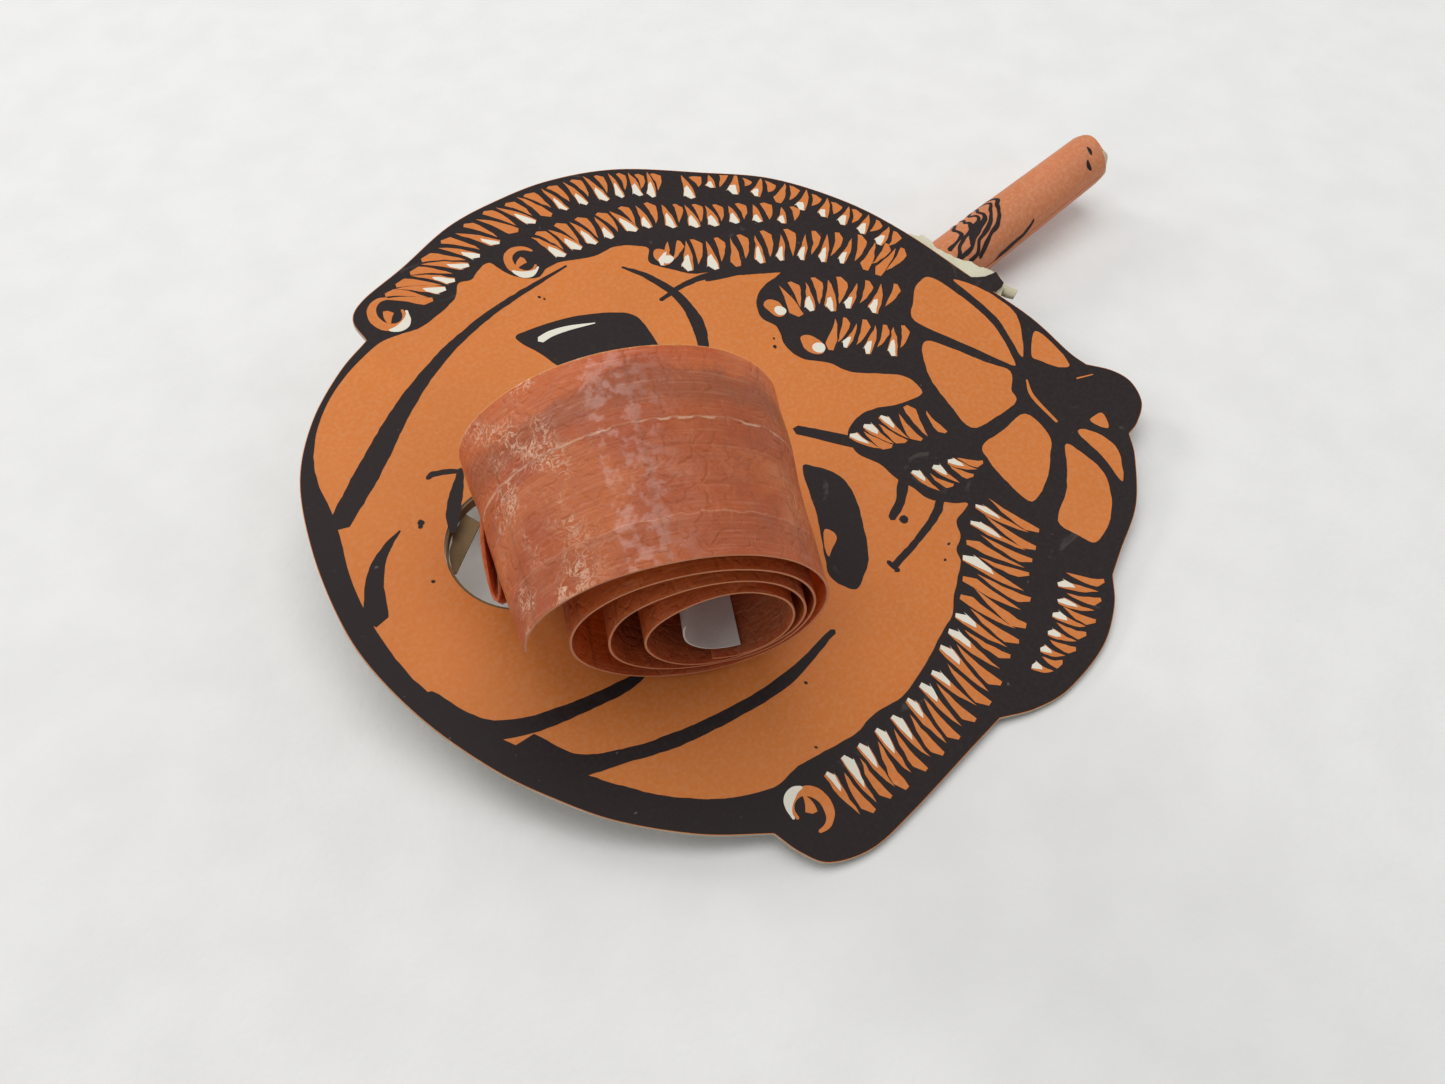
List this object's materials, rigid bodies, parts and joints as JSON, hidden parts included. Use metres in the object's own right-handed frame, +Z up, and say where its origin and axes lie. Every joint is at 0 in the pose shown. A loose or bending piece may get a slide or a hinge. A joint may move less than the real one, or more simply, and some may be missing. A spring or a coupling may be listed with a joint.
{
  "type": "party blow-out noisemaker",
  "caption": "Die-cut printed face card with a rolled paper mouthpiece along its back and a coiled flat paper blow-out that unrolls from a hole in the card.",
  "frame": {"origin": "middle of the footprint, on the table that it lies on", "axes": "+Z up, +X along the mouthpiece towards its mouth end, +Y towards the raised edge of the card"},
  "size_m": [0.1617, 0.1196, 0.0435],
  "materials": {
    "printed_card": "matt printed card, orange, black and cream inks",
    "kraft_paper": "rough unprinted kraft paper",
    "rolled_paper": "satin printed paper, tightly rolled and glued",
    "cream_paper": "matt torn tissue-like paper",
    "waxed_paper": "glossy waxed glassine paper",
    "white_paper": "matt white paper",
    "soft_wood": "raw turned softwood",
    "brass_strip": "thin rolled brass"
  },
  "bodies": {
    "holder": {"face_card": "printed_card", "hole_collar": "kraft_paper", "mouthpiece_tube": "rolled_paper", "edge_strip": "cream_paper", "throat_sleeve": "kraft_paper", "reed_seat": "kraft_paper", "reed_body": "soft_wood", "reed_wedge": "soft_wood"},
    "reed": {"reed_tongue": "brass_strip"},
    "link_01": {"roll_link_01": "waxed_paper"},
    "link_02": {"roll_link_02": "waxed_paper"},
    "link_03": {"roll_link_03": "waxed_paper"},
    "link_04": {"roll_link_04": "waxed_paper"},
    "link_05": {"roll_link_05": "waxed_paper"},
    "link_06": {"roll_link_06": "waxed_paper"},
    "link_07": {"roll_link_07": "waxed_paper"},
    "link_08": {"roll_link_08": "waxed_paper"},
    "link_09": {"roll_link_09": "waxed_paper"},
    "link_10": {"roll_link_10": "waxed_paper"},
    "link_11": {"roll_link_11": "waxed_paper"},
    "link_12": {"roll_link_12": "waxed_paper"},
    "link_13": {"roll_link_13": "waxed_paper"},
    "link_14": {"roll_link_14": "waxed_paper"},
    "link_15": {"roll_link_15": "waxed_paper"},
    "link_16": {"roll_link_16": "waxed_paper"},
    "link_17": {"roll_link_17": "waxed_paper"},
    "link_18": {"roll_link_18": "waxed_paper"},
    "link_19": {"roll_link_19": "waxed_paper"},
    "link_20": {"roll_link_20": "waxed_paper"},
    "link_21": {"roll_link_21": "waxed_paper"},
    "link_22": {"roll_link_22": "waxed_paper", "tip_seal": "white_paper"}
  },
  "joints": [
    {"name": "roll_unroll", "type": "hinge", "parent": "holder", "child": "link_01", "pos_m": [-0.05945, -0.00339, 0.02431], "axis": [-0.5, -0.8554, -0.135], "range_deg": [0, 90], "stiffness_Nm_per_rad": 0.05, "deforming": ["roll_link_01"]},
    {"name": "roll_bend_02", "type": "hinge", "parent": "link_01", "child": "link_02", "pos_m": [-0.05297, -0.0097, 0.04025], "axis": [-0.5, -0.8554, -0.135], "range_deg": [0, 58.41], "stiffness_Nm_per_rad": 0.0183, "deforming": ["roll_link_02"]},
    {"name": "roll_bend_03", "type": "hinge", "parent": "link_02", "child": "link_03", "pos_m": [-0.03624, -0.01964, 0.04126], "axis": [-0.5, -0.8554, -0.135], "range_deg": [0, 56.33], "stiffness_Nm_per_rad": 0.01695, "deforming": ["roll_link_03"]},
    {"name": "roll_bend_04", "type": "hinge", "parent": "link_03", "child": "link_04", "pos_m": [-0.02588, -0.02341, 0.0268], "axis": [-0.5, -0.8554, -0.135], "range_deg": [0, 62.87], "stiffness_Nm_per_rad": 0.01564, "deforming": ["roll_link_04"]},
    {"name": "roll_bend_05", "type": "hinge", "parent": "link_04", "child": "link_05", "pos_m": [-0.03139, -0.01778, 0.01153], "axis": [-0.5, -0.8554, -0.135], "range_deg": [0, 59.31], "stiffness_Nm_per_rad": 0.01437, "deforming": ["roll_link_05"]},
    {"name": "roll_bend_06", "type": "hinge", "parent": "link_05", "child": "link_06", "pos_m": [-0.04625, -0.00888, 0.01019], "axis": [-0.5, -0.8554, -0.135], "range_deg": [0, 59.03], "stiffness_Nm_per_rad": 0.01314, "deforming": ["roll_link_06"]},
    {"name": "roll_bend_07", "type": "hinge", "parent": "link_06", "child": "link_07", "pos_m": [-0.05523, -0.00569, 0.02321], "axis": [-0.5, -0.8554, -0.135], "range_deg": [0, 63.84], "stiffness_Nm_per_rad": 0.01195, "deforming": ["roll_link_07"]},
    {"name": "roll_bend_08", "type": "hinge", "parent": "link_07", "child": "link_08", "pos_m": [-0.04969, -0.0111, 0.03698], "axis": [-0.5, -0.8554, -0.135], "range_deg": [0, 58.65], "stiffness_Nm_per_rad": 0.01081, "deforming": ["roll_link_08"]},
    {"name": "roll_bend_09", "type": "hinge", "parent": "link_08", "child": "link_09", "pos_m": [-0.03567, -0.01943, 0.03781], "axis": [-0.5, -0.8554, -0.135], "range_deg": [0, 57.44], "stiffness_Nm_per_rad": 0.00971, "deforming": ["roll_link_09"]},
    {"name": "roll_bend_10", "type": "hinge", "parent": "link_09", "child": "link_10", "pos_m": [-0.02708, -0.02248, 0.02536], "axis": [-0.5, -0.8554, -0.135], "range_deg": [0, 61.08], "stiffness_Nm_per_rad": 0.00866, "deforming": ["roll_link_10"]},
    {"name": "roll_bend_11", "type": "hinge", "parent": "link_10", "child": "link_11", "pos_m": [-0.03164, -0.01775, 0.01226], "axis": [-0.5, -0.8554, -0.135], "range_deg": [0, 59.67], "stiffness_Nm_per_rad": 0.00765, "deforming": ["roll_link_11"]},
    {"name": "roll_bend_12", "type": "hinge", "parent": "link_11", "child": "link_12", "pos_m": [-0.0438, -0.01046, 0.01109], "axis": [-0.5, -0.8554, -0.135], "range_deg": [0, 60.89], "stiffness_Nm_per_rad": 0.0067, "deforming": ["roll_link_12"]},
    {"name": "roll_bend_13", "type": "hinge", "parent": "link_12", "child": "link_13", "pos_m": [-0.051, -0.00799, 0.02212], "axis": [-0.5, -0.8554, -0.135], "range_deg": [0, 61.98], "stiffness_Nm_per_rad": 0.00579, "deforming": ["roll_link_13"]},
    {"name": "roll_bend_14", "type": "hinge", "parent": "link_13", "child": "link_14", "pos_m": [-0.0464, -0.01251, 0.0337], "axis": [-0.5, -0.8554, -0.135], "range_deg": [0, 59], "stiffness_Nm_per_rad": 0.00494, "deforming": ["roll_link_14"]},
    {"name": "roll_bend_15", "type": "hinge", "parent": "link_14", "child": "link_15", "pos_m": [-0.0351, -0.01922, 0.03436], "axis": [-0.5, -0.8554, -0.135], "range_deg": [0, 59.03], "stiffness_Nm_per_rad": 0.00414, "deforming": ["roll_link_15"]},
    {"name": "roll_bend_16", "type": "hinge", "parent": "link_15", "child": "link_16", "pos_m": [-0.02827, -0.02156, 0.02391], "axis": [-0.5, -0.8554, -0.135], "range_deg": [0, 58.53], "stiffness_Nm_per_rad": 0.0034, "deforming": ["roll_link_16"]},
    {"name": "roll_bend_17", "type": "hinge", "parent": "link_16", "child": "link_17", "pos_m": [-0.03189, -0.01772, 0.01299], "axis": [-0.5, -0.8554, -0.135], "range_deg": [0, 60.12], "stiffness_Nm_per_rad": 0.00273, "deforming": ["roll_link_17"]},
    {"name": "roll_bend_18", "type": "hinge", "parent": "link_17", "child": "link_18", "pos_m": [-0.04134, -0.01204, 0.012], "axis": [-0.5, -0.8554, -0.135], "range_deg": [0, 63.71], "stiffness_Nm_per_rad": 0.00211, "deforming": ["roll_link_18"]},
    {"name": "roll_bend_19", "type": "hinge", "parent": "link_18", "child": "link_19", "pos_m": [-0.04677, -0.01029, 0.02102], "axis": [-0.5, -0.8554, -0.135], "range_deg": [0, 59.18], "stiffness_Nm_per_rad": 0.00157, "deforming": ["roll_link_19"]},
    {"name": "roll_bend_20", "type": "hinge", "parent": "link_19", "child": "link_20", "pos_m": [-0.04312, -0.01391, 0.03043], "axis": [-0.5, -0.8554, -0.135], "range_deg": [0, 59.52], "stiffness_Nm_per_rad": 0.0011, "deforming": ["roll_link_20"]},
    {"name": "roll_bend_21", "type": "hinge", "parent": "link_20", "child": "link_21", "pos_m": [-0.03452, -0.01901, 0.03091], "axis": [-0.5, -0.8554, -0.135], "range_deg": [0, 61.48], "stiffness_Nm_per_rad": 0.00072, "deforming": ["roll_link_21"]},
    {"name": "roll_bend_22", "type": "hinge", "parent": "link_21", "child": "link_22", "pos_m": [-0.02947, -0.02063, 0.02247], "axis": [-0.5, -0.8554, -0.135], "range_deg": [0, 54.61], "stiffness_Nm_per_rad": 0.00044, "deforming": ["roll_link_22", "tip_seal"]},
    {"name": "reed_flutter", "type": "hinge", "parent": "holder", "child": "reed", "pos_m": [-0.0114, 0.00599, 0.00513], "axis": [0, -1, 0], "range_deg": [-1, 2.5], "stiffness_Nm_per_rad": 0.002}
  ],
  "couplings": [
    {"joint": "roll_bend_02", "follows": "roll_unroll", "ratio": 0.6295},
    {"joint": "roll_bend_03", "follows": "roll_unroll", "ratio": 0.6071},
    {"joint": "roll_bend_04", "follows": "roll_unroll", "ratio": 0.6776},
    {"joint": "roll_bend_05", "follows": "roll_unroll", "ratio": 0.6393},
    {"joint": "roll_bend_06", "follows": "roll_unroll", "ratio": 0.6362},
    {"joint": "roll_bend_07", "follows": "roll_unroll", "ratio": 0.6881},
    {"joint": "roll_bend_08", "follows": "roll_unroll", "ratio": 0.6322},
    {"joint": "roll_bend_09", "follows": "roll_unroll", "ratio": 0.6191},
    {"joint": "roll_bend_10", "follows": "roll_unroll", "ratio": 0.6583},
    {"joint": "roll_bend_11", "follows": "roll_unroll", "ratio": 0.6431},
    {"joint": "roll_bend_12", "follows": "roll_unroll", "ratio": 0.6562},
    {"joint": "roll_bend_13", "follows": "roll_unroll", "ratio": 0.668},
    {"joint": "roll_bend_14", "follows": "roll_unroll", "ratio": 0.6359},
    {"joint": "roll_bend_15", "follows": "roll_unroll", "ratio": 0.6362},
    {"joint": "roll_bend_16", "follows": "roll_unroll", "ratio": 0.6309},
    {"joint": "roll_bend_17", "follows": "roll_unroll", "ratio": 0.648},
    {"joint": "roll_bend_18", "follows": "roll_unroll", "ratio": 0.6867},
    {"joint": "roll_bend_19", "follows": "roll_unroll", "ratio": 0.6378},
    {"joint": "roll_bend_20", "follows": "roll_unroll", "ratio": 0.6415},
    {"joint": "roll_bend_21", "follows": "roll_unroll", "ratio": 0.6626},
    {"joint": "roll_bend_22", "follows": "roll_unroll", "ratio": 0.5885}
  ]
}
